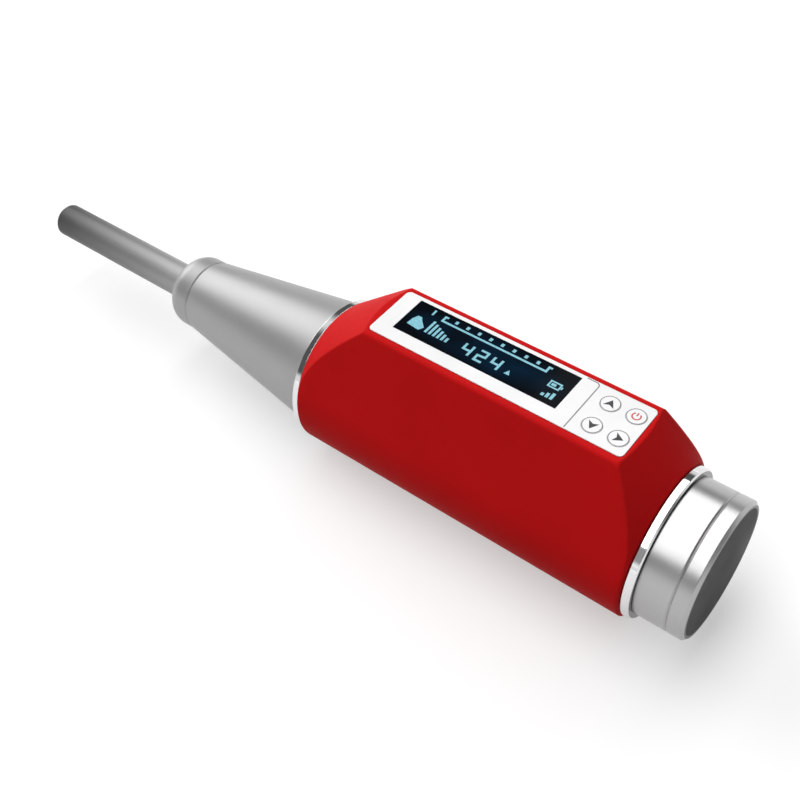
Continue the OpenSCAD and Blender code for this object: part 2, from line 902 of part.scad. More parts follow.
module pawl() {
    color(bright)
        translate([pawl_pin_x, 0, pawl_pin_z])
            rotate([0, -pawl_open, 0])
                difference() {
                    upright_plate(pawl_t)
                        union() {
                            polygon([
                                [hook_front, arm_bottom], [0, arm_bottom], [0, arm_top],
                                [hook_back, arm_top], [hook_back, hook_tip],
                                [hook_front, hook_tip - (hook_back - hook_front)]
                            ]);
                            circle(r = boss_r);
                            polygon([
                                [0, -boss_r], [boss_r, 0], [trip_back, boss_r + trip_front],
                                [trip_back, trip_top], [trip_front, trip_top], [trip_front, boss_r],
                                [-boss_r, 0]
                            ]);
                        }
                    cross_rod(0, 0, -pawl_t, pawl_t, pin_r + run_fit);
                }
}

module rebound_rider() {
    x_finger = x_rider + (rider_len - finger_len) / 2;
    color(brass)
        difference() {
            union() {
                slab(x_rider, rider_len, rider_half, rider_bottom, rider_top - rider_bottom);
                slab(x_finger, finger_len, finger_half, mass_thick_r + finger_gap,
                    rider_bottom + touch - mass_thick_r - finger_gap);
            }
            translate([0, 0, rod_z])
                rod(x_rider - over, rider_len + 2 * over, rod_r + run_fit);
        }
}

// One key: a cap in the panel, a flange under it and a foot on its switch
module panel_key(x, side) {
    translate([x, side * key_pitch_y / 2, 0]) {
        translate([0, 0, key_foot])
            cylinder(h = panel_top + key_proud - key_foot, r = key_r);
        slab(-key_flange_x_half, 2 * key_flange_x_half, key_flange_half,
            recess_floor - air - key_flange_t, key_flange_t);
    }
}

module key_up() {
    color(white)
        panel_key(x_key_front, 1);
}

module key_power() {
    color(white)
        panel_key(x_key_back, 1);
}

module key_down() {
    color(white)
        panel_key(x_key_front, -1);
}

module key_right() {
    color(white)
        panel_key(x_key_back, -1);
}

module lock_button() {
    color(dark)
        union() {
            cross_rod(x_button, 0, y_button, bush_to + button_out - bush_edge, button_r);
            cross_rod(x_button, 0, y_button, bush_to + button_out, button_r - bush_edge);
            cross_rod(x_button, 0, y_button_pin, y_button + over, button_pin_r);
        }
}

module impact_spring() {
    color(steel)
        translate([x_impact, 0, 0])
            coil(x_mass_thick - air - x_impact, impact_coil, impact_wire, impact_turns);
}

module compression_spring() {
    color(steel)
        translate([x_disk_end + air, 0, 0])
            coil(x_end_wall - x_disk_end - 2 * air, return_coil, return_wire, return_turns);
}

module buffer_spring() {
    x_from = x_plunger_end - plunger_bore_depth + air;
    color(steel)
        translate([x_from, 0, 0])
            coil(x_plunger_end - bar_in_plunger - air - x_from, buffer_coil, buffer_wire, buffer_turns);
}

module pawl_spring() {
    color(steel)
        translate([x_disk_end + air, 0, pawl_spring_z])
            coil(pawl_spring_len, pawl_coil, pawl_wire, pawl_turns);
}

module button_spring() {
    color(steel)
        translate([x_button, y_bush_floor + air, 0])
            rotate([0, 0, 90])
                coil(button_spring_len - 2 * air, button_coil, button_wire, button_turns);
}

housing();
face_panel();
display_window();
display_module();
main_board();
sensor_strip();
switch_block();
battery_pack();
board_screws();
front_ring();
front_cap();
nose_collar();
felt_seal();
guide_sleeve();
stop_ring();
rider_rod();
rear_ring();
tail_cap();
trip_screw();
lock_nut();
end_pad();
button_bush();
plunger();
guide_bar();
guide_disk();
bar_nut();
pawl_pin();
hammer_mass();
pawl();
rebound_rider();
key_up();
key_power();
key_down();
key_right();
lock_button();
impact_spring();
compression_spring();
buffer_spring();
pawl_spring();
button_spring();
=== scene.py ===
import math

import bmesh
import bpy
from bpy.props import FloatProperty, FloatVectorProperty, IntProperty, PointerProperty
from mathutils import Matrix, Vector


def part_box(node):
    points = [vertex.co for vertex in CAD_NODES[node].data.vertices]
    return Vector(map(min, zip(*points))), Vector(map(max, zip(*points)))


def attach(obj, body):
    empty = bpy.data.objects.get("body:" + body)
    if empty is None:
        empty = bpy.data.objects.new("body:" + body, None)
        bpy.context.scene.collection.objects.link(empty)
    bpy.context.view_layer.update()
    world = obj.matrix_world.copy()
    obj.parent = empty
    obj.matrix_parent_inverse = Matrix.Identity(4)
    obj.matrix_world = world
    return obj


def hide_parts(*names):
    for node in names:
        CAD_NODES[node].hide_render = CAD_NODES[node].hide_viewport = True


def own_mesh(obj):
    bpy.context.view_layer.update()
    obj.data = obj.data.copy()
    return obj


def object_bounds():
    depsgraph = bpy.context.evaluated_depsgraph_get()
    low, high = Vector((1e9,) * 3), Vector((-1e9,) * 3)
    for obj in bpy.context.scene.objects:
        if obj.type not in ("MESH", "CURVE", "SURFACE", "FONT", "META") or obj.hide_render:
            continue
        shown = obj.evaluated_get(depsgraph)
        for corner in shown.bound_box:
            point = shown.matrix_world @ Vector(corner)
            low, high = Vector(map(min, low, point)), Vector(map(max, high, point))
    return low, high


bl_info = {
    "name": "Concrete Test Hammer",
    "version": (1, 0, 0),
    "blender": (4, 5, 0),
    "location": "3D View > Sidebar > Test Hammer",
    "description": "Dresses the packed test hammer with finishes, panel prints, springs and a stage",
    "category": "Object",
}

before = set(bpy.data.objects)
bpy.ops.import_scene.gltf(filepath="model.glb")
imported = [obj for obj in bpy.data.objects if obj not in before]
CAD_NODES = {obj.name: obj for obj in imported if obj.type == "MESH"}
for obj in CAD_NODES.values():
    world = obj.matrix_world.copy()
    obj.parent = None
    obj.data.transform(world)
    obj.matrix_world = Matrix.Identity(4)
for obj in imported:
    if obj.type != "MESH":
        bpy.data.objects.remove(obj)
CAD_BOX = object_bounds()

MM = 0.001

# Directions of the printed and lit signs in the panel's plane
SIGN_UP = Vector((0.0, 1.0))
SIGN_RIGHT = Vector((1.0, 0.0))

# Keys: node, body and the way its arrow points, with none for the power sign
KEYS = (
    ("key_up", "up_key", SIGN_UP),
    ("key_down", "down_key", -SIGN_UP),
    ("key_right", "right_key", SIGN_RIGHT),
    ("key_power", "power_key", None),
)

# Shares of the sizes that the printed signs and digits follow
ARROW_AHEAD_SHARE = 0.55
POWER_BAR_SHARES = (0.1, 1.15)
FOUR_BAR_SHARE = 0.46
TWO_SHARES = ((0.0, 1.0), (1.0, 1.0), (1.0, 0.52), (0.0, 0.48), (0.0, 0.0), (1.0, 0.0))

# Half of the gap in the power sign's arc, in degrees
POWER_GAP = 38.0
# Least cosine that the reach of a stroke's mitred corner is divided by
MITRE_LEAST = 0.35

# Places and sizes on the display, in millimetres from its near front corner
READING = "424"
DIGITS_AT = (26.7, 3.4)
TICKS_AT = (17.6, 13.9)
CHART_AT = (10.9, 4.4)
SCALE_AT = (12.6, 12.6)
SCALE_RISE = 2.3
SCALE_HOOK = 1.3
SCALE_STROKE = 0.85
MARK_LINE = ((7.8, 13.0), (7.7, 15.7))
MARK_STROKE = 0.8
BLOCK_OUTLINE = ((2.7, 4.6), (8.2, 4.0), (9.3, 6.0), (6.6, 8.6), (5.6, 10.0), (4.0, 9.9), (3.0, 7.8))
POINTER_OUTLINE = ((44.9, 3.8), (47.1, 3.8), (46.0, 6.0))
BATTERY_INNER = ((60.5, 7.9), (63.9, 9.9))
BATTERY_OUTER = ((59.9, 7.3), (64.5, 10.5))
BATTERY_CHARGE = ((60.9, 8.3), (62.7, 9.5))
BATTERY_KNOB = ((64.6, 8.3), (65.2, 9.5))
SIGNAL_AT = (60.3, 2.6)
SIGNAL_COUNT = 3
SIGNAL_PITCH = 1.7
SIGNAL_WIDTH = 1.1
SIGNAL_FIRST = 1.3
SIGNAL_RISE = 0.9

# Springs: node, body, axis, wire radius and turns, then the joint that closes a spring, its travel, and
# which end is held (0 the low end, 1 the high end); lengths in millimetres
SPRINGS = (
    ("impact_spring", "shell", 0, 0.9, 14, "hammer_slide", 65.0, 0),
    ("compression_spring", "shell", 0, 0.8, 10, "plunger_slide", 65.0, 1),
    ("buffer_spring", "carriage", 0, 0.6, 6, None, 0.0, 0),
    ("pawl_spring", "carriage", 0, 0.35, 4, None, 0.0, 0),
    ("button_spring", "shell", 1, 0.25, 2, "lock_button_press", 2.0, 0),
)
# Turns that lay a spring wound along Z down along X or along Y
SPRING_TURNS = ((0.0, math.pi / 2, 0.0), (-math.pi / 2, 0.0, 0.0))

# A whole turn in degrees, and the steps that round shapes are divided into
FULL_TURN = 360.0
RING_STEPS = 72
POWER_STEPS = 40
BEND_STEPS = 10
FLOOR_STEPS = 96
COIL_STEPS = 36
WIRE_SIDES = 10
# Points of a piece that are nearer to each other than this, in metres, are merged
WELD_DISTANCE = 1e-7

# Ranges that the finishes are spread over
FULL = (0.0, 1.0)
FALLING = (1.0, 0.0)
CENTRED = (-1.0, 1.0)
NOISE_RANGE = (0.3, 0.7)
NOISE_WIDE = (0.2, 0.8)
# Cosine between the true and the rounded normal, from an edge's middle to where it has faded
EDGE_COSINES = (0.72, 0.985)
EDGE_SAMPLES = 6
# Cosine between a face's normal and the hammer's axis, from a slope to a flat end, for darkening the flat
# ends (painted shade on the rings)
END_COSINES = (0.8, 0.95)
# Share of the turned rings in a metal's tone; the rest is handling marks
RINGS_SHARE = 0.6
# Depth of a fine grain, in millimetres
GRAIN_DEPTH = 0.03

BLACK = (0.0, 0.0, 0.0)
WHITE = (1.0, 1.0, 1.0)

# Sockets of a Mix node that blends colours
MIX_FACTOR, MIX_FIRST, MIX_SECOND, MIX_RESULT = 0, 6, 7, 2

# The floor's middle and thickness in metres, the camera's sensor in millimetres and its near limit in metres
FLOOR_MIDDLE = (0.12, 0.0)
FLOOR_THICKNESS = 0.02
SENSOR_WIDTH = 36.0
CLIP_START = 0.01


# Settings


def colour(name, description, default):
    """A colour property in linear values."""
    return FloatVectorProperty(
        name=name, description=description, subtype="COLOR", size=3, min=0.0, max=1.0, default=default)


def length(name, description, millimetres):
    """A length property, written in millimetres and kept in metres."""
    return FloatProperty(
        name=name, description=description, subtype="DISTANCE", unit="LENGTH", min=0.0,
        default=millimetres * MM)


def level(name, description, default, **more):
    """A number that can't fall below zero."""
    return FloatProperty(name=name, description=description, min=0.0, default=default, **more)


def pair(name, description, default, **more):
    """Two numbers, such as the ends of a fade or the sides of a lamp."""
    return FloatVectorProperty(name=name, description=description, size=2, default=default, **more)


def place(name, description, default):
    """A place in metres."""
    return FloatVectorProperty(
        name=name, description=description, subtype="TRANSLATION", unit="LENGTH", default=default)


def direction(name, description, default):
    """A direction in space."""
    return FloatVectorProperty(name=name, description=description, subtype="DIRECTION", default=default)


def count(name, description, default, most):
    """A number of like things, two at least."""
    return IntProperty(name=name, description=description, min=2, max=most, default=default)


class HammerFinishes(bpy.types.PropertyGroup):
    """Colours of the hammer's surfaces, and the glow of its display."""

    housing: colour("Housing", "Red of the moulded housing", (0.57, 0.0075, 0.0085))
    worn_red: colour("Worn edges", "Paler red along the housing's edges", (0.70, 0.055, 0.05))
    aluminium: colour("Cone", "Matt aluminium of the cone and collar", (0.40, 0.40, 0.402))
    tail: colour("Tail", "Fine turned aluminium of the tail", (0.46, 0.46, 0.462))
    polished: colour("Rings", "Polished rings at the housing's ends", (0.72, 0.72, 0.725))
    # Painted shade laid on the polished rings' flat end faces
    ring_face_shade: colour("Ring faces", "Dark end faces of the polished rings", (0.05, 0.05, 0.052))
    plunger: colour("Plunger", "Ground steel of the plunger", (0.42, 0.42, 0.422))
    # Painted shade: the dark steel that the plunger fades to at its tip
    plunger_tip_shade: colour("Plunger tip", "Darker steel at the plunger's hardened tip", (0.09, 0.09, 0.091))
    steel: colour("Mechanism", "Steel of the inner mechanism", (0.40, 0.40, 0.41))
    brass: colour("Brass", "Brass of the trip screw, bush and rider", (0.72, 0.50, 0.20))
    spring: colour("Springs", "Drawn wire of the springs", (0.33, 0.33, 0.35))
    panel: colour("Panel", "White film of the face panel", (0.90, 0.90, 0.905))
    key: colour("Keys", "White caps of the keys", (0.90, 0.90, 0.905))
    glass: colour("Display", "Dark glass of the display", (0.003, 0.0045, 0.007))
    glow: colour("Backlight", "Blue haze behind the display's signs", (0.004, 0.024, 0.055))
    glow_level: level("Backlight level", "Strength of the haze", 0.38)
    lit: colour("Lit signs", "Lit digits and bars of the display", (0.22, 0.55, 0.66))
    lit_level: level("Lit level", "Strength of the lit signs", 0.9)
    ink: colour("Key ink", "Dark ink of the arrows", (0.025, 0.025, 0.028))
    ring_ink: colour("Line ink", "Grey ink of the rings and the divider", (0.20, 0.20, 0.21))
    power_ink: colour("Power ink", "Red ink of the power sign", (0.55, 0.075, 0.06))
    end_pad: colour("End pad", "Dark pad and rim on the tail's end", (0.042, 0.042, 0.043))
    dark_plastic: colour("Dark plastic", "Black moulded plastic", (0.022, 0.022, 0.024))
    board: colour("Board", "Lacquer of the circuit board", (0.015, 0.13, 0.045))
    copper: colour("Copper", "Tracks under the board's lacquer", (0.04, 0.24, 0.09))
    battery: colour("Battery", "Wrap of the battery pack", (0.42, 0.44, 0.47))
    felt: colour("Felt", "Felt of the front seal", (0.24, 0.235, 0.225))


class HammerPrints(bpy.types.PropertyGroup):
    """Sizes of what is printed on the panel and keys and lit on the display."""

    ink_height: length("Ink height", "How far the ink stands above its ground", 0.02)
    line_width: length("Divider width", "Width of the divider line", 0.42)
    divider_place: length("Divider place", "Divider from the rear edge of the panel", 21.6)
    divider_edge: length("Divider edge", "Bare edge of the panel at both ends of the divider", 0.5)
    divider_bend: length("Divider bend", "Radius of the divider's bend at the far edge", 1.6)
    divider_end: length("Divider end", "How far the divider turns towards the nose", 5.12)
    ring_edge: length("Ring edge", "Bare edge outside the ring on a key", 0.04)
    ring_width: length("Ring width", "Width of the ring on a key", 0.30)
    arrow_length: length("Arrow length", "Length of an arrow sign", 3.3)
    arrow_width: length("Arrow width", "Width of an arrow sign", 3.9)
    arrow_notch: length("Arrow notch", "Depth of the notch in an arrow's back", 0.85)
    power_radius: length("Power radius", "Radius of the power sign's arc", 1.45)
    power_stroke: length("Power stroke", "Stroke of the power sign", 0.52)
    digit_height: length("Digit height", "Height of the reading's digits", 5.1)
    digit_width: length("Digit width", "Width of the reading's digits", 3.1)
    digit_pitch: length("Digit pitch", "Step from digit to digit", 6.0)
    digit_stroke: length("Digit stroke", "Stroke of the reading's digits", 0.92)
    scale_length: length("Scale length", "Length of the lit scale's line", 43.6)
    tick_pitch: length("Tick pitch", "Step of the scale's ticks", 4.9)
    tick_count: count("Ticks", "Ticks on the lit scale", 8, 40)
    tick_width: length("Tick width", "Width of a tick", 1.2)
    tick_height: length("Tick height", "Height of a tick", 1.5)
    bar_count: count("Bars", "Bars of the lit chart", 6, 12)
    bar_pitch: length("Bar pitch", "Step of the chart's bars", 1.75)
    bar_width: length("Bar width", "Width of a chart bar", 1.0)
    bar_first: length("First bar", "Height of the chart's first bar", 6.5)
    bar_fall: length("Bar fall", "How much lower each next bar is", 0.85)


class HammerStage(bpy.types.PropertyGroup):
    """Camera, lamps, room and floor."""

    camera_place: place("Camera", "Place of the camera", (0.31049, -0.21649, 0.31129))
    camera_right: direction(
        "Camera right", "Direction to the picture's right", (0.783798, 0.618473, -0.056140))
    camera_up: direction("Camera up", "Direction to the picture's top", (-0.424644, 0.599722, 0.678241))
    lens: FloatProperty(name="Lens", description="Focal length on a 36 mm sensor", default=48.908, min=1.0)
    floor_radius: level("Floor radius", "Radius of the floor", 12.0, subtype="DISTANCE", unit="LENGTH")
    floor: colour("Floor", "Colour of the floor", (0.62, 0.62, 0.62))
    floor_bounce: colour(
        "Floor bounce", "Colour of the floor in the light that it throws back", (0.28, 0.28, 0.28))
    floor_white: level("Floor white", "White added to the floor round the hammer, where it is seen", 0.44)
    floor_fade: pair(
        "Floor fade", "Distances between which the floor's white grows to the wall's", (0.6, 2.5),
        unit="LENGTH")
    backdrop_light: level("Backdrop light", "Light of the pale wall low behind the floor", 0.92)
    backdrop_fade: pair("Backdrop fade", "Heights between which the wall fades", (0.10, 0.26))
    room_light: level("Room light", "Light of the room round the hammer", 0.10)
    dome_light: level("Dome light", "Light of the soft dome ahead of the nose", 3.2)
    dome_axis: direction("Dome axis", "Middle of the soft dome", (-0.84, 0.15, 0.50))
    dome_fade: pair("Dome fade", "Cosines from the dome's rim to its bright middle", (0.86, 0.975))
    key_power: level("Key lamp", "Power of the long soft box overhead", 60.0, subtype="POWER")
    key_place: place("Key place", "Key lamp from the hammer's middle", (-0.34, 0.10, 1.97))
    key_size: pair(
        "Key size", "Sides of the key lamp, the first across the hammer", (6.2, 0.9), unit="LENGTH")
    fill_power: level("Fill lamp", "Power of the soft lamp on the near side", 0.3, subtype="POWER")
    fill_place: place("Fill place", "Fill lamp from the hammer's middle", (-0.15, -0.90, 0.35))
    fill_size: pair("Fill size", "Sides of the fill lamp", (0.6, 0.6), unit="LENGTH")


def finishes():
    """The colours as they are set now."""
    return bpy.context.scene.hammer_finishes


def prints():
    """The print sizes as they are set now."""
    return bpy.context.scene.hammer_prints


def stage_settings():
    """The stage's values as they are set now."""
    return bpy.context.scene.hammer_stage


# Nodes


def feed(tree, socket, value):
    """Links another node's socket into a socket, or sets a plain value."""
    if isinstance(value, bpy.types.NodeSocket):
        tree.links.new(value, socket)
    else:
        socket.default_value = value


def add(tree, kind, settings=None, inputs=None):
    """A node in a tree, with its settings, and its inputs set or linked."""
    node = tree.nodes.new(kind)
    for key, value in (settings or {}).items():
        setattr(node, key, value)
    for key, value in (inputs or {}).items():
        feed(tree, node.inputs[key], value)
    return node


def solid(rgb):
    """A colour with full cover."""
    return (*rgb, 1.0)


def shade(rgb, factor):
    """A colour made darker or lighter."""
    return tuple(min(1.0, c * factor) for c in rgb)


def math_node(tree, operation, a, b=0.0):
    """The result of a Math node."""
    return add(tree, "ShaderNodeMath", {"operation": operation}, {0: a, 1: b}).outputs[0]


def spread(tree, value, to, source=NOISE_RANGE, interpolation="LINEAR"):
    """A value brought from one range into another."""
    return add(
        tree, "ShaderNodeMapRange", {"interpolation_type": interpolation},
        {"Value": value, "From Min": source[0], "From Max": source[1], "To Min": to[0], "To Max": to[1]}
    ).outputs[0]


def blend_colour(tree, mask, a, b):
    """The first colour where a mask is low, and the second where it is high."""
    node = add(tree, "ShaderNodeMix", {"data_type": "RGBA"})
    for socket, value in ((MIX_FACTOR, mask), (MIX_FIRST, a), (MIX_SECOND, b)):
        feed(tree, node.inputs[socket], value)
    return node.outputs[MIX_RESULT]


def split(tree, vector):
    """The X, Y and Z of a vector."""
    return add(tree, "ShaderNodeSeparateXYZ", None, {0: vector}).outputs


# Finishes


class Finish:
    """A material with its shader and the piece's own coordinates."""

    def __init__(self, name, **values):
        self.material = bpy.data.materials.new(name)
        self.material.use_nodes = True
        self.tree = self.material.node_tree
        self.tree.nodes.clear()
        output = add(self.tree, "ShaderNodeOutputMaterial")
        self.shader = add(self.tree, "ShaderNodeBsdfPrincipled")
        self.tree.links.new(self.shader.outputs[0], output.inputs["Surface"])
        self.place = add(self.tree, "ShaderNodeTexCoord").outputs["Object"]
        self.tone = None
        for key, value in values.items():
            self.set(key.replace("_", " "), value)

    def set(self, name, value):
        """Sets or links one of the shader's inputs."""
        feed(self.tree, self.shader.inputs[name], value)

    def math(self, operation, a, b=0.0):
        """The result of a Math node in this finish."""
        return math_node(self.tree, operation, a, b)

    def squares(self, a, b):
        """The sum of two squares."""
        return self.math("ADD", self.math("MULTIPLY", a, a), self.math("MULTIPLY", b, b))

    def spread(self, value, to, source=NOISE_RANGE):
        """A value brought into a range, in this finish."""
        return spread(self.tree, value, to, source)

    def tones(self, mask, rgb, dark, pale):
        """A colour between a darker and a paler shade of itself."""
        return blend_colour(self.tree, mask, solid(shade(rgb, dark)), solid(shade(rgb, pale)))

    def paint(self, tone):
        """Sets the colour, and keeps it for what is laid over it."""
        self.tone = tone
        self.set("Base Color", tone)

    def cover(self, mask, rgb):
        """Lays a colour over the finish where a mask is high."""
        self.paint(blend_colour(self.tree, mask, self.tone, solid(rgb)))

    def grain(self, scale, detail=2.0, roughness=0.5):
        """Noise that stays with the piece."""
        return add(
            self.tree, "ShaderNodeTexNoise", None,
            {"Vector": self.place, "Scale": scale, "Detail": detail, "Roughness": roughness}
        ).outputs["Fac"]

    def turned_lines(self, scale):
        """Fine rings round the hammer's axis, along it and across its end faces."""
        along, across, up = split(self.tree, self.place)
        run = self.math("ADD", along, self.math("SQRT", self.squares(across, up)))
        return add(
            self.tree, "ShaderNodeTexNoise", {"noise_dimensions": "1D"},
            {"W": run, "Scale": scale, "Detail": 2.0, "Roughness": 0.6}
        ).outputs["Fac"]

    def soft_edges(self, radius):
        """Normals rounded over the edges by a radius in millimetres, and a mask that is high along them."""
        bevel = add(self.tree, "ShaderNodeBevel", {"samples": EDGE_SAMPLES}, {"Radius": radius * MM})
        rounded = bevel.outputs[0]
        flat = add(self.tree, "ShaderNodeNewGeometry").outputs["True Normal"]
        same = add(self.tree, "ShaderNodeVectorMath", {"operation": "DOT_PRODUCT"}, {0: rounded, 1: flat})
        return rounded, self.spread(same.outputs["Value"], FALLING, EDGE_COSINES)

    def bump(self, height, strength, depth=GRAIN_DEPTH, normal=None):
        """Raises the surface by a depth in millimetres, over rounded normals where they are given."""
        inputs = {"Height": height, "Strength": strength, "Distance": depth * MM}
        if normal is not None:
            inputs["Normal"] = normal
        self.set("Normal", add(self.tree, "ShaderNodeBump", None, inputs).outputs[0])


def turned_metal(name, rgb, metallic, rough, line_scale, line_bump, edge=0.4, gloss=0.5):
    """Metal turned on a lathe: fine rings, faint handling marks and soft edges."""
    finish = Finish(name, Metallic=metallic, Specular_IOR_Level=gloss)
    lines = finish.turned_lines(line_scale)
    marks = finish.grain(scale=55.0)
    rings = finish.math("MULTIPLY", lines, RINGS_SHARE)
    tone = finish.math("ADD", rings, finish.math("MULTIPLY", marks, 1.0 - RINGS_SHARE))
    finish.paint(finish.tones(finish.spread(tone, FULL, NOISE_WIDE), rgb, dark=0.94, pale=1.05))
    finish.set("Roughness", finish.spread(marks, rough, NOISE_WIDE))
    rounded, _ = finish.soft_edges(edge)
    finish.bump(lines, line_bump, normal=rounded)
    return finish


def dark_ended(finish, rgb):
    """A turned finish with its flat end faces darkened, as painted shade on the rings and as the end pad's
    dark tone on the tail's rim.
    """
    facing = split(finish.tree, add(finish.tree, "ShaderNodeTexCoord").outputs["Normal"])["X"]
    finish.cover(finish.spread(finish.math("ABSOLUTE", facing), FULL, END_COSINES), rgb)
    return finish


def plunger_steel():
    """Ground steel, with painted shade that darkens it towards the tip."""
    colours = finishes()
    finish = turned_metal(
        "plunger_ground_tip_shade", colours.plunger, metallic=0.35, rough=(0.36, 0.46), line_scale=4200.0,
        line_bump=0.14, gloss=0.04)
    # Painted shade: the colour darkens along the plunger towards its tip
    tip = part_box("plunger")[0].x
    along = split(finish.tree, finish.place)["X"]
    finish.cover(finish.spread(along, FALLING, (tip, 0.0)), colours.plunger_tip_shade)
    return finish


def moulded(name, rgb, rough, grain_scale, grain_bump, edge=0.25, gloss=0.5):
    """Moulded plastic or rubber: fine grain, slight clouding and soft edges."""
    finish = Finish(name, Specular_IOR_Level=gloss)
    cloud = finish.grain(scale=45.0, detail=3.0)
    fine = finish.grain(grain_scale)
    finish.paint(finish.tones(finish.spread(cloud, FULL), rgb, dark=0.95, pale=1.04))
    finish.set("Roughness", finish.spread(cloud, rough))
    rounded, _ = finish.soft_edges(edge)
    finish.bump(fine, grain_bump, normal=rounded)
    return finish


def housing_red():
    """Red moulded housing with a fine satin grain and slightly worn edges."""
    colours = finishes()
    finish = Finish("housing_red_satin", Specular_IOR_Level=0.03)
    cloud = finish.grain(scale=38.0, detail=3.0)
    scuffs = finish.grain(scale=420.0, detail=5.0, roughness=0.65)
    fine = finish.grain(scale=2400.0)
    finish.paint(finish.tones(finish.spread(cloud, FULL), colours.housing, dark=0.96, pale=1.03))
    rounded, edges = finish.soft_edges(radius=1.5)
    worn = finish.math("MULTIPLY", edges, finish.spread(scuffs, to=(0.0, 0.45), source=(0.45, 0.75)))
    finish.cover(worn, colours.worn_red)
    finish.set("Roughness", finish.spread(scuffs, to=(0.50, 0.58)))
    finish.bump(fine, strength=0.10, normal=rounded)
    return finish


def display_glass():
    """Dark display glass with a blue haze round its lit signs."""
    colours = finishes()
    low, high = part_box("display_window")
    finish = Finish("display_glass_dark", Specular_IOR_Level=0.02)
    part = split(finish.tree, finish.place)
    along = finish.spread(part["X"], CENTRED, (low.x, high.x))
    across = finish.spread(part["Y"], CENTRED, (low.y, high.y))
    middle = finish.spread(finish.squares(along, across), FALLING, source=(0.0, 1.1))
    cloud = finish.spread(finish.grain(scale=55.0), to=(0.15, 1.0), source=(0.35, 0.65))
    haze = finish.math("MULTIPLY", middle, cloud)
    finish.paint(solid(colours.glass))
    finish.cover(haze, shade(colours.glow, 0.5))
    finish.set("Emission Color", blend_colour(finish.tree, haze, solid(BLACK), solid(colours.glow)))
    finish.set("Emission Strength", colours.glow_level)
    finish.set("Roughness", finish.spread(finish.grain(scale=120.0, detail=4.0), to=(0.05, 0.11)))
    return finish


def lit_sign():
    """Lit display segments with an uneven glow."""
    colours = finishes()
    finish = Finish("display_lit", Roughness=0.35)
    grain = finish.grain(scale=1600.0)
    finish.paint(solid(shade(colours.lit, 0.15)))
    tone = finish.tones(finish.spread(grain, FULL), colours.lit, dark=0.72, pale=1.12)
    finish.set("Emission Color", tone)
    finish.set("Emission Strength", colours.lit_level)
    return finish


def ink(name, rgb):
    """Screen-printed ink with a slightly uneven cover."""
    finish = Finish(name)
    grain = finish.grain(scale=3200.0, detail=3.0)
    finish.paint(finish.tones(finish.spread(grain, FULL), rgb, dark=0.8, pale=1.15))
    finish.set("Roughness", finish.spread(grain, to=(0.42, 0.58)))
    finish.bump(grain, strength=0.08, depth=0.01)
    return finish


def circuit_board():
    """Lacquered board with copper tracks showing through."""
    colours = finishes()
    finish = Finish("board_lacquer")
    tracks = add(
        finish.tree, "ShaderNodeTexBrick", {"offset": 0.37},
        {"Vector": finish.place, "Color1": solid(colours.board), "Color2": solid(shade(colours.board, 0.8)),
         "Mortar": solid(colours.copper), "Scale": 150.0, "Mortar Size": 0.03, "Brick Width": 0.9,
         "Row Height": 0.3})
    finish.paint(tracks.outputs["Color"])
    finish.set("Roughness", finish.spread(finish.grain(scale=300.0), to=(0.28, 0.42)))
    finish.bump(tracks.outputs["Fac"], strength=0.3)
    return finish


def felt():
    """Pressed felt with short fibres."""
    finish = Finish("felt_pressed", Sheen_Weight=0.4)
    fibres = finish.grain(scale=1400.0, detail=5.0, roughness=0.75)
    finish.paint(finish.tones(fibres, finishes().felt, dark=0.6, pale=1.35))
    finish.set("Roughness", finish.spread(fibres, to=(0.85, 1.0)))
    finish.bump(fibres, strength=0.6, depth=0.2)
    return finish


def battery_wrap():
    """Shrink-wrapped cells with faint bands round each cell."""
    finish = Finish("battery_wrap")
    bands = add(
        finish.tree, "ShaderNodeTexWave", {"bands_direction": "X"},
        {"Vector": finish.place, "Scale": 24.0, "Distortion": 0.6, "Detail": 2.0}).outputs["Fac"]
    finish.paint(finish.tones(bands, finishes().battery, dark=0.75, pale=1.1))
    finish.set("Roughness", finish.spread(finish.grain(scale=200.0, detail=3.0), to=(0.25, 0.4)))
    finish.bump(finish.grain(scale=260.0, detail=3.0), strength=0.2, depth=0.1)
    return finish


def dress(finish, *names):
    """Gives CAD nodes a finish, in every material slot that they have."""
    for name in names:
        slots = CAD_NODES[name].data.materials
        if not slots:
            slots.append(finish.material)
        for index in range(len(slots)):
            slots[index] = finish.material


# Shapes


def prism(bm, outline, low, high):
    """A closed plate from a flat outline given anticlockwise."""
    bottom = [bm.verts.new((x, y, low)) for x, y in outline]
    top = [bm.verts.new((x, y, high)) for x, y in outline]
    bm.faces.new(top)
    bm.faces.new(bottom[::-1])
    for i in range(len(outline)):
        j = (i + 1) % len(outline)
        bm.faces.new((bottom[i], bottom[j], top[j], top[i]))


def band(bm, inner, outer, low, high, closed=True):
    """A closed ring or an open strip between two lines with as many points each."""
    rows = [
        [bm.verts.new((x, y, z)) for x, y in line]
        for line, z in ((inner, low), (outer, low), (outer, high), (inner, high))
    ]
    points = len(inner)
    for i in range(points if closed else points - 1):
        j = (i + 1) % points
        for k, row in enumerate(rows):
            after = rows[(k + 1) % len(rows)]
            bm.faces.new((row[i], row[j], after[j], after[i]))
    if not closed:
        bm.faces.new([row[0] for row in rows])
        bm.faces.new([row[-1] for row in rows][::-1])


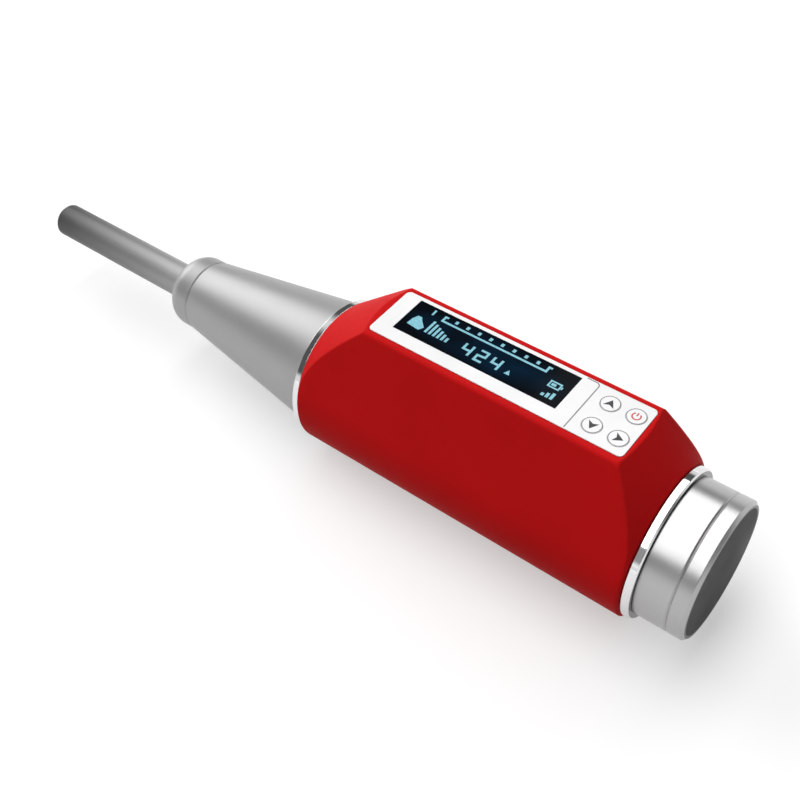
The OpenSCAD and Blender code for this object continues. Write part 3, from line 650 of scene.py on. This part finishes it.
def stroke(bm, points, width, low, high):
    """A line of even width with mitred corners."""
    points = [Vector(p) for p in points]
    left, right = [], []
    for i, point in enumerate(points):
        before = (point - points[i - 1]).normalized() if i else None
        after = (points[i + 1] - point).normalized() if i + 1 < len(points) else None
        sides = [Vector((-d.y, d.x)) for d in (before, after) if d is not None]
        mitre = sum(sides, Vector((0.0, 0.0))).normalized()
        reach = width / 2 / max(MITRE_LEAST, mitre.dot(sides[0]))
        left.append(point + mitre * reach)
        right.append(point - mitre * reach)
    band(bm, left, right, low, high, closed=False)


def arc(centre, radius, start, end, steps):
    """Points on an arc, angles in degrees."""
    angles = [math.radians(start + (end - start) * i / steps) for i in range(steps + 1)]
    return [(centre[0] + radius * math.cos(a), centre[1] + radius * math.sin(a)) for a in angles]


def circle(centre, radius, steps):
    """Points on a whole circle, anticlockwise."""
    return arc(centre, radius, 0.0, FULL_TURN, steps)[:-1]


def rectangle(low, high):
    """The corners of a rectangle, anticlockwise."""
    return (low[0], low[1]), (high[0], low[1]), (high[0], high[1]), (low[0], high[1])


class Ground:
    """The top of a CAD node that prints stand on."""

    def __init__(self, node):
        self.low, self.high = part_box(node)
        height = prints().ink_height
        self.levels = (self.high.z - height / 2, self.high.z + height)

    def at(self, spot):
        """A point from a place in millimetres, measured from the near front corner."""
        return Vector((self.low.x, self.low.y)) + Vector(spot) * MM

    def outline(self, spots):
        """Points from places in millimetres."""
        return [self.at(spot) for spot in spots]


def place_mesh(name, mesh, body, finish):
    """An object at the origin with a mesh and a finish, riding on a body."""
    mesh.materials.clear()
    mesh.materials.append(finish.material)
    made = bpy.data.objects.new(name, mesh)
    bpy.context.scene.collection.objects.link(made)
    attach(made, body)
    return made


def piece(name, bm, body, finish):
    """A piece from a bmesh, merged and with its faces turned outwards."""
    bmesh.ops.remove_doubles(bm, verts=bm.verts, dist=WELD_DISTANCE)
    bmesh.ops.recalc_face_normals(bm, faces=bm.faces)
    mesh = bpy.data.meshes.new(name)
    bm.to_mesh(mesh)
    bm.free()
    return place_mesh(name, mesh, body, finish)


# Geometry Nodes trees


def new_tree(name, inputs):
    """An empty node tree with named inputs and a geometry output."""
    tree = bpy.data.node_groups.new(name, "GeometryNodeTree")
    tree.interface.new_socket("Geometry", in_out="OUTPUT", socket_type="NodeSocketGeometry")
    for label, kind in inputs:
        tree.interface.new_socket(label, in_out="INPUT", socket_type=kind)
    return tree, tree.nodes.new("NodeGroupInput").outputs, tree.nodes.new("NodeGroupOutput")


def close_tree(tree, given, output, geometry):
    """Ends a tree in Realize Instances and Set Material."""
    real = add(tree, "GeometryNodeRealizeInstances", None, {"Geometry": geometry})
    made = add(
        tree, "GeometryNodeSetMaterial", None, {"Geometry": real.outputs[0], "Material": given["Material"]})
    tree.links.new(made.outputs[0], output.inputs[0])


def bar_row_tree():
    """Bars in a row on a base line, each lower than the last by the same step."""
    tree, given, output = new_tree("bar_row", (
        ("Count", "NodeSocketInt"), ("Start", "NodeSocketVector"), ("Pitch", "NodeSocketFloat"),
        ("Width", "NodeSocketFloat"), ("Height", "NodeSocketFloat"), ("Fall", "NodeSocketFloat"),
        ("Thickness", "NodeSocketFloat"), ("Material", "NodeSocketMaterial")))
    step = add(tree, "ShaderNodeCombineXYZ", None, {"X": given["Pitch"]})
    line = add(tree, "GeometryNodeMeshLine", None, {
        "Count": given["Count"], "Start Location": given["Start"], "Offset": step.outputs[0]})
    index = add(tree, "GeometryNodeInputIndex").outputs[0]
    height = math_node(tree, "SUBTRACT", given["Height"], math_node(tree, "MULTIPLY", index, given["Fall"]))
    raised = add(tree, "ShaderNodeCombineXYZ", None, {"Y": math_node(tree, "MULTIPLY", height, 0.5)})
    points = add(tree, "GeometryNodeSetPosition", None, {
        "Geometry": line.outputs[0], "Offset": raised.outputs[0]})
    size = add(tree, "ShaderNodeCombineXYZ", None, {
        "X": given["Width"], "Y": height, "Z": given["Thickness"]})
    unit = add(tree, "GeometryNodeMeshCube", None, {"Size": (1.0, 1.0, 1.0)})
    bars = add(tree, "GeometryNodeInstanceOnPoints", None, {
        "Points": points.outputs[0], "Instance": unit.outputs[0], "Scale": size.outputs[0]})
    close_tree(tree, given, output, bars.outputs[0])
    return tree


def wound_spring_tree():
    """A round wire wound into a coil and laid down from a start point."""
    tree, given, output = new_tree("wound_spring", (
        ("Start", "NodeSocketVector"), ("Turn", "NodeSocketVector"), ("Turns", "NodeSocketFloat"),
        ("Coil Radius", "NodeSocketFloat"), ("Wire Radius", "NodeSocketFloat"),
        ("Length", "NodeSocketFloat"), ("Steps", "NodeSocketInt"), ("Sides", "NodeSocketInt"),
        ("Material", "NodeSocketMaterial")))
    spiral = add(tree, "GeometryNodeCurveSpiral", None, {
        "Resolution": given["Steps"], "Rotations": given["Turns"], "Start Radius": given["Coil Radius"],
        "End Radius": given["Coil Radius"], "Height": given["Length"]})
    wire = add(tree, "GeometryNodeCurvePrimitiveCircle", None, {
        "Resolution": given["Sides"], "Radius": given["Wire Radius"]})
    tube = add(tree, "GeometryNodeCurveToMesh", None, {
        "Curve": spiral.outputs[0], "Profile Curve": wire.outputs[0], "Fill Caps": True})
    laid = add(tree, "GeometryNodeTransform", None, {
        "Geometry": tube.outputs[0], "Translation": given["Start"], "Rotation": given["Turn"]})
    close_tree(tree, given, output, laid.outputs[0])
    return tree


def grown(name, tree, values):
    """The plain mesh that a tree makes from these values."""
    holder = bpy.data.objects.new(name + "_holder", bpy.data.meshes.new(name + "_holder"))
    bpy.context.scene.collection.objects.link(holder)
    modifier = holder.modifiers.new("grow", "NODES")
    modifier.node_group = tree
    sockets = {s.name: s.identifier for s in tree.interface.items_tree if s.in_out == "INPUT"}
    for label, value in values.items():
        modifier[sockets[label]] = value
    graph = bpy.context.evaluated_depsgraph_get()
    mesh = bpy.data.meshes.new_from_object(holder.evaluated_get(graph), depsgraph=graph)
    holder.modifiers.remove(modifier)
    bpy.data.objects.remove(holder)
    if not mesh.polygons:
        raise RuntimeError(name + " came out empty")
    mesh.name = name
    return mesh


# Pieces


class HAMMER_OT_housing(bpy.types.Operator):
    """Gives the housing its red satin finish"""

    bl_idname = "hammer.housing"
    bl_label = "Housing"

    def execute(self, context):
        dress(housing_red(), "housing")
        return {"FINISHED"}


class HAMMER_OT_metal_caps(bpy.types.Operator):
    """Gives the cone, collar, tail, rings, plunger and end pad their finishes"""

    bl_idname = "hammer.metal_caps"
    bl_label = "Caps, rings and plunger"

    def execute(self, context):
        colours = finishes()
        cone = turned_metal(
            "aluminium_turned", colours.aluminium, metallic=0.6, rough=(0.36, 0.44), line_scale=5200.0,
            line_bump=0.10, gloss=0.04)
        dress(cone, "front_cap", "nose_collar")
        tail = turned_metal(
            "aluminium_fine", colours.tail, metallic=0.82, rough=(0.26, 0.33), line_scale=6500.0,
            line_bump=0.06, gloss=0.04)
        dress(dark_ended(tail, colours.end_pad), "tail_cap")
        rings = turned_metal(
            "ring_polished_shaded_ends", colours.polished, metallic=1.0, rough=(0.06, 0.10), line_scale=7000.0,
            line_bump=0.04, edge=0.3)
        # Painted shade: the rings' flat end faces are darkened
        dress(dark_ended(rings, colours.ring_face_shade), "front_ring", "rear_ring")
        dress(plunger_steel(), "plunger")
        pad = moulded(
            "end_pad_dark", colours.end_pad, rough=(0.5, 0.62), grain_scale=1800.0, grain_bump=0.25,
            gloss=0.12)
        dress(pad, "end_pad")
        return {"FINISHED"}


class HAMMER_OT_inner_works(bpy.types.Operator):
    """Gives the mechanism, the electronics and the lock button their finishes"""

    bl_idname = "hammer.inner_works"
    bl_label = "Inner works"

    def execute(self, context):
        colours = finishes()
        steel = turned_metal(
            "steel_machined", colours.steel, metallic=1.0, rough=(0.26, 0.38), line_scale=3600.0,
            line_bump=0.14)
        dress(steel, "guide_bar", "guide_disk", "bar_nut", "hammer_mass", "stop_ring", "pawl", "pawl_pin",
              "rider_rod", "guide_sleeve", "lock_nut")
        brass = turned_metal(
            "brass_turned", colours.brass, metallic=1.0, rough=(0.22, 0.34), line_scale=4200.0,
            line_bump=0.10)
        dress(brass, "trip_screw", "button_bush", "rebound_rider")
        bright = turned_metal(
            "screw_bright", colours.steel, metallic=1.0, rough=(0.2, 0.3), line_scale=5200.0,
            line_bump=0.10)
        dress(bright, "board_screws")
        black = moulded(
            "plastic_black", colours.dark_plastic, rough=(0.42, 0.55), grain_scale=2200.0, grain_bump=0.22)
        dress(black, "display_module", "switch_block", "lock_button")
        dress(circuit_board(), "main_board", "sensor_strip")
        dress(battery_wrap(), "battery_pack")
        dress(felt(), "felt_seal")
        return {"FINISHED"}


class HAMMER_OT_springs(bpy.types.Operator):
    """Winds the springs in place of their CAD nodes, with a mesh of their own for those on a joint"""

    bl_idname = "hammer.springs"
    bl_label = "Springs"

    def execute(self, context):
        steel = turned_metal(
            "spring_wire", finishes().spring, metallic=1.0, rough=(0.28, 0.4), line_scale=3000.0,
            line_bump=0.12, edge=0.1)
        tree = wound_spring_tree()
        for node, body, along, wire, turns, joint, travel, held in SPRINGS:
            dress(steel, node)
            low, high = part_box(node)
            radius = wire * MM
            start = (low + high) / 2
            start[along] = low[along] + radius
            mesh = grown(node + "_wire", tree, {
                "Start": start, "Turn": SPRING_TURNS[along], "Turns": float(turns),
                "Coil Radius": (high.z - low.z) / 2 - radius, "Wire Radius": radius,
                "Length": high[along] - low[along] - 2 * radius, "Steps": COIL_STEPS, "Sides": WIRE_SIDES,
                "Material": steel.material})
            wound = place_mesh(node + "_wire", mesh, body, steel)
            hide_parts(node)
            if joint:
                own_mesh(wound)
        return {"FINISHED"}


class HAMMER_OT_face(bpy.types.Operator):
    """Finishes the face panel and keys and prints the divider line"""

    bl_idname = "hammer.face"
    bl_label = "Face panel"

    def execute(self, context):
        colours, sizes = finishes(), prints()
        film = moulded(
            "panel_film", colours.panel, rough=(0.34, 0.44), grain_scale=3000.0, grain_bump=0.06, edge=0.2,
            gloss=0.2)
        dress(film, "face_panel")
        cap = moulded(
            "key_cap", colours.key, rough=(0.30, 0.40), grain_scale=3000.0, grain_bump=0.05, edge=0.15,
            gloss=0.2)
        dress(cap, *(key[0] for key in KEYS))
        ground = Ground("face_panel")
        x = ground.high.x - sizes.divider_place
        near, far = ground.low.y + sizes.divider_edge, ground.high.y - sizes.divider_edge
        bend = sizes.divider_bend
        line = [(x, near)] + arc((x - bend, far - bend), bend, 0.0, FULL_TURN / 4, BEND_STEPS)
        line.append((x - sizes.divider_end, far))
        bm = bmesh.new()
        stroke(bm, line, sizes.line_width, *ground.levels)
        piece("panel_divider", bm, "shell", ink("line_ink", colours.ring_ink))
        return {"FINISHED"}


class HAMMER_OT_key_signs(bpy.types.Operator):
    """Prints a ring and a sign on each key"""

    bl_idname = "hammer.key_signs"
    bl_label = "Key signs"

    def execute(self, context):
        colours, sizes = finishes(), prints()
        dark, red = ink("arrow_ink", colours.ink), ink("power_ink", colours.power_ink)
        line = ink("ring_ink", colours.ring_ink)
        for node, body, ahead in KEYS:
            ground = Ground(node)
            centre = ((ground.low + ground.high) / 2).xy
            radius = (ground.high.x - ground.low.x) / 2 - sizes.ring_edge
            inner = circle(centre, radius - sizes.ring_width, RING_STEPS)
            bm = bmesh.new()
            band(bm, inner, circle(centre, radius, RING_STEPS), *ground.levels)
            piece(body + "_ring", bm, body, line)
            bm = bmesh.new()
            if ahead is None:
                self.power_sign(bm, centre, ground)
                piece(body + "_sign", bm, body, red)
            else:
                self.arrow_sign(bm, centre, ahead, ground)
                piece(body + "_sign", bm, body, dark)
        return {"FINISHED"}

    def arrow_sign(self, bm, centre, ahead, ground):
        """An arrowhead with a notched back."""
        sizes = prints()
        tip = centre + ahead * sizes.arrow_length * ARROW_AHEAD_SHARE
        back = tip - ahead * sizes.arrow_length
        notch = back + ahead * sizes.arrow_notch
        reach = Vector((-ahead.y, ahead.x)) * sizes.arrow_width / 2
        prism(bm, [tip, back + reach, notch, back - reach], *ground.levels)

    def power_sign(self, bm, centre, ground):
        """An open arc with a bar in its gap."""
        sizes = prints()
        up = math.degrees(math.atan2(SIGN_UP.y, SIGN_UP.x))
        ends = (up + POWER_GAP, up + FULL_TURN - POWER_GAP)
        stroke(bm, arc(centre, sizes.power_radius, *ends, POWER_STEPS), sizes.power_stroke, *ground.levels)
        bar = [centre + SIGN_UP * sizes.power_radius * share for share in POWER_BAR_SHARES]
        stroke(bm, bar, sizes.power_stroke, *ground.levels)


class HAMMER_OT_display(bpy.types.Operator):
    """Finishes the display glass and lights its digits, scale, chart and signs"""

    bl_idname = "hammer.display"
    bl_label = "Display"

    def execute(self, context):
        dress(display_glass(), "display_window")
        ground, glow = Ground("display_window"), lit_sign()
        self.digits(ground, glow)
        self.rows(ground, glow)
        self.scale_line(ground, glow)
        self.signs(ground, glow)
        return {"FINISHED"}

    def digits(self, ground, glow):
        """The reading, in plain digits of even strokes."""
        bm = bmesh.new()
        for step, digit in enumerate(READING):
            corner = ground.at(DIGITS_AT) + SIGN_RIGHT * prints().digit_pitch * step
            {"2": self.two, "4": self.four}[digit](bm, corner, ground)
        piece("display_digits", bm, "shell", glow)

    def two(self, bm, corner, ground):
        """The digit 2 from its near front corner."""
        sizes = prints()
        line = [corner + Vector((x * sizes.digit_width, y * sizes.digit_height)) for x, y in TWO_SHARES]
        stroke(bm, line, sizes.digit_stroke, *ground.levels)

    def four(self, bm, corner, ground):
        """The digit 4 from its near front corner."""
        sizes = prints()
        wide, high, half = sizes.digit_width, sizes.digit_height, sizes.digit_stroke / 2
        bar = FOUR_BAR_SHARE * high
        outline = (
            (wide - half, 0.0), (wide + half, 0.0), (wide + half, high), (wide - half, high),
            (wide - half, bar + half), (half, bar + half), (half, high), (-half, high),
            (-half, bar - half), (wide - half, bar - half))
        prism(bm, [corner + Vector(point) for point in outline], *ground.levels)

    def rows(self, ground, glow):
        """The scale's ticks and the chart's bars."""
        sizes = prints()
        tree = bar_row_tree()
        base, top = ground.levels
        for name, spot, values in (
            ("display_ticks", TICKS_AT, {
                "Count": sizes.tick_count, "Pitch": sizes.tick_pitch, "Width": sizes.tick_width,
                "Height": sizes.tick_height, "Fall": 0.0}),
            ("display_chart", CHART_AT, {
                "Count": sizes.bar_count, "Pitch": sizes.bar_pitch, "Width": sizes.bar_width,
                "Height": sizes.bar_first, "Fall": sizes.bar_fall}),
        ):
            start = (*ground.at(spot), (base + top) / 2)
            mesh = grown(name, tree, {
                **values, "Start": start, "Thickness": top - base, "Material": glow.material})
            place_mesh(name, mesh, "shell", glow)

    def scale_line(self, ground, glow):
        """The scale's line with a hook at each end."""
        left = ground.at(SCALE_AT)
        right = left + SIGN_RIGHT * prints().scale_length
        rise, hook = SIGN_UP * SCALE_RISE * MM, SIGN_RIGHT * SCALE_HOOK * MM
        line = [left + rise + hook, left + rise, left, right, right + rise, right + rise + hook]
        bm = bmesh.new()
        stroke(bm, line, SCALE_STROKE * MM, *ground.levels)
        piece("display_scale_line", bm, "shell", glow)

    def signs(self, ground, glow):
        """The mark and the block by the chart, the pointer, the battery and the signal bars."""
        bm = bmesh.new()
        stroke(bm, ground.outline(MARK_LINE), MARK_STROKE * MM, *ground.levels)
        for outline in (BLOCK_OUTLINE, POINTER_OUTLINE):
            prism(bm, ground.outline(outline), *ground.levels)
        inner, outer = (ground.outline(rectangle(*box)) for box in (BATTERY_INNER, BATTERY_OUTER))
        band(bm, inner, outer, *ground.levels)
        for box in (BATTERY_CHARGE, BATTERY_KNOB):
            prism(bm, ground.outline(rectangle(*box)), *ground.levels)
        x, y = SIGNAL_AT
        for step in range(SIGNAL_COUNT):
            left, height = x + SIGNAL_PITCH * step, SIGNAL_FIRST + SIGNAL_RISE * step
            bar = rectangle((left, y), (left + SIGNAL_WIDTH, y + height))
            prism(bm, ground.outline(bar), *ground.levels)
        piece("display_signs", bm, "shell", glow)


class HAMMER_OT_stage(bpy.types.Operator):
    """Sets the floor, the soft lamps, the room light and the camera"""

    bl_idname = "hammer.stage"
    bl_label = "Stage"

    def execute(self, context):
        settings = stage_settings()
        context.scene.view_settings.view_transform = "Standard"
        self.floor(settings)
        self.room(settings)
        self.lamp("key_lamp", settings.key_place, settings.key_size, settings.key_power)
        self.lamp("fill_lamp", settings.fill_place, settings.fill_size, settings.fill_power)
        self.camera(settings)
        return {"FINISHED"}

    def floor(self, settings):
        """A pale matt floor that keeps the hammer's shadow and looks white."""
        bm = bmesh.new()
        height = CAD_BOX[0].z
        rim = circle(FLOOR_MIDDLE, settings.floor_radius, FLOOR_STEPS)
        prism(bm, rim, height - FLOOR_THICKNESS, height)
        mesh = bpy.data.meshes.new("floor")
        bm.to_mesh(mesh)
        bm.free()
        mesh.materials.append(self.floor_finish(settings))
        floor = bpy.data.objects.new("floor", mesh)
        bpy.context.scene.collection.objects.link(floor)

    def floor_finish(self, settings):
        """The floor's material, with white added where it is seen, more of it farther away."""
        material = bpy.data.materials.new("floor_white")
        material.use_nodes = True
        tree = material.node_tree
        tree.nodes.clear()
        output = add(tree, "ShaderNodeOutputMaterial")
        path = add(tree, "ShaderNodeLightPath").outputs
        seen = math_node(tree, "MAXIMUM", path["Is Camera Ray"], math_node(
            tree, "MAXIMUM", path["Is Glossy Ray"], path["Is Transmission Ray"]))
        matt = add(tree, "ShaderNodeBsdfDiffuse", None, {
            "Color": blend_colour(tree, seen, solid(settings.floor_bounce), solid(settings.floor))})
        away = add(tree, "ShaderNodeVectorMath", {"operation": "LENGTH"}, {
            0: add(tree, "ShaderNodeTexCoord").outputs["Object"]}).outputs["Value"]
        added = spread(
            tree, away, (settings.floor_white, settings.backdrop_light), settings.floor_fade, "SMOOTHSTEP")
        strength = math_node(tree, "MULTIPLY", seen, added)
        white = add(tree, "ShaderNodeEmission", None, {"Strength": strength})
        both = add(tree, "ShaderNodeAddShader", None, {0: matt.outputs[0], 1: white.outputs[0]})
        tree.links.new(both.outputs[0], output.inputs["Surface"])
        return material

    def room(self, settings):
        """Even room light with a pale wall low round the floor and a soft bright dome."""
        world = bpy.data.worlds.new("studio")
        world.use_nodes = True
        tree = world.node_tree
        tree.nodes.clear()
        output = add(tree, "ShaderNodeOutputWorld")
        way = add(tree, "ShaderNodeTexCoord").outputs["Generated"]
        near = add(tree, "ShaderNodeVectorMath", {"operation": "DOT_PRODUCT"}, {
            0: way, 1: Vector(settings.dome_axis).normalized()}).outputs["Value"]
        dome = spread(
            tree, near, (settings.room_light, settings.dome_light), settings.dome_fade, "SMOOTHSTEP")
        height = split(tree, way)["Z"]
        wall = spread(tree, height, (settings.backdrop_light, 0.0), settings.backdrop_fade, "SMOOTHSTEP")
        ground = add(tree, "ShaderNodeBackground", None, {
            "Color": solid(WHITE), "Strength": math_node(tree, "MAXIMUM", dome, wall)})
        tree.links.new(ground.outputs[0], output.inputs["Surface"])
        bpy.context.scene.world = world

    def lamp(self, name, offset, size, power):
        """A soft box that faces the hammer's middle, its first side along Y."""
        light = bpy.data.lights.new(name, "AREA")
        light.shape = "RECTANGLE"
        light.size, light.size_y = size
        light.energy = power
        lamp = bpy.data.objects.new(name, light)
        back = Vector(offset).normalized()
        side = (Vector((0.0, 1.0, 0.0)) - back * back.y).normalized()
        turn = Matrix((side, back.cross(side), back)).transposed()
        middle = (CAD_BOX[0] + CAD_BOX[1]) / 2
        lamp.matrix_world = Matrix.Translation(middle + Vector(offset)) @ turn.to_4x4()
        bpy.context.scene.collection.objects.link(lamp)

    def camera(self, settings):
        """The camera at the photograph's angle."""
        lens = bpy.data.cameras.new("photo_camera")
        lens.sensor_width = SENSOR_WIDTH
        lens.sensor_fit = "HORIZONTAL"
        lens.lens = settings.lens
        lens.clip_start = CLIP_START
        camera = bpy.data.objects.new("photo_camera", lens)
        right, up = Vector(settings.camera_right).normalized(), Vector(settings.camera_up).normalized()
        turn = Matrix((right, up, right.cross(up))).transposed()
        camera.matrix_world = Matrix.Translation(settings.camera_place) @ turn.to_4x4()
        bpy.context.scene.collection.objects.link(camera)
        bpy.context.scene.camera = camera


class HAMMER_PT_panel(bpy.types.Panel):
    """Lists the steps that dress the hammer"""

    bl_idname = "HAMMER_PT_panel"
    bl_label = "Test Hammer"
    bl_space_type = "VIEW_3D"
    bl_region_type = "UI"
    bl_category = "Test Hammer"

    def draw(self, context):
        layout = self.layout
        for step in STEPS:
            layout.operator(step.bl_idname)
        for settings in (finishes(), prints(), stage_settings()):
            box = layout.box()
            for key in settings.__annotations__:
                box.prop(settings, key)


STEPS = (
    HAMMER_OT_housing, HAMMER_OT_metal_caps, HAMMER_OT_inner_works, HAMMER_OT_springs, HAMMER_OT_face,
    HAMMER_OT_key_signs, HAMMER_OT_display, HAMMER_OT_stage,
)
CLASSES = (HammerFinishes, HammerPrints, HammerStage, *STEPS, HAMMER_PT_panel)


def register():
    for cls in CLASSES:
        bpy.utils.register_class(cls)
    bpy.types.Scene.hammer_finishes = PointerProperty(type=HammerFinishes)
    bpy.types.Scene.hammer_prints = PointerProperty(type=HammerPrints)
    bpy.types.Scene.hammer_stage = PointerProperty(type=HammerStage)


def unregister():
    del bpy.types.Scene.hammer_stage
    del bpy.types.Scene.hammer_prints
    del bpy.types.Scene.hammer_finishes
    for cls in reversed(CLASSES):
        bpy.utils.unregister_class(cls)


def main():
    register()
    bpy.ops.hammer.housing()
    bpy.ops.hammer.metal_caps()
    bpy.ops.hammer.inner_works()
    bpy.ops.hammer.springs()
    bpy.ops.hammer.face()
    bpy.ops.hammer.key_signs()
    bpy.ops.hammer.display()
    bpy.ops.hammer.stage()


if __name__ == "__main__":
    main()
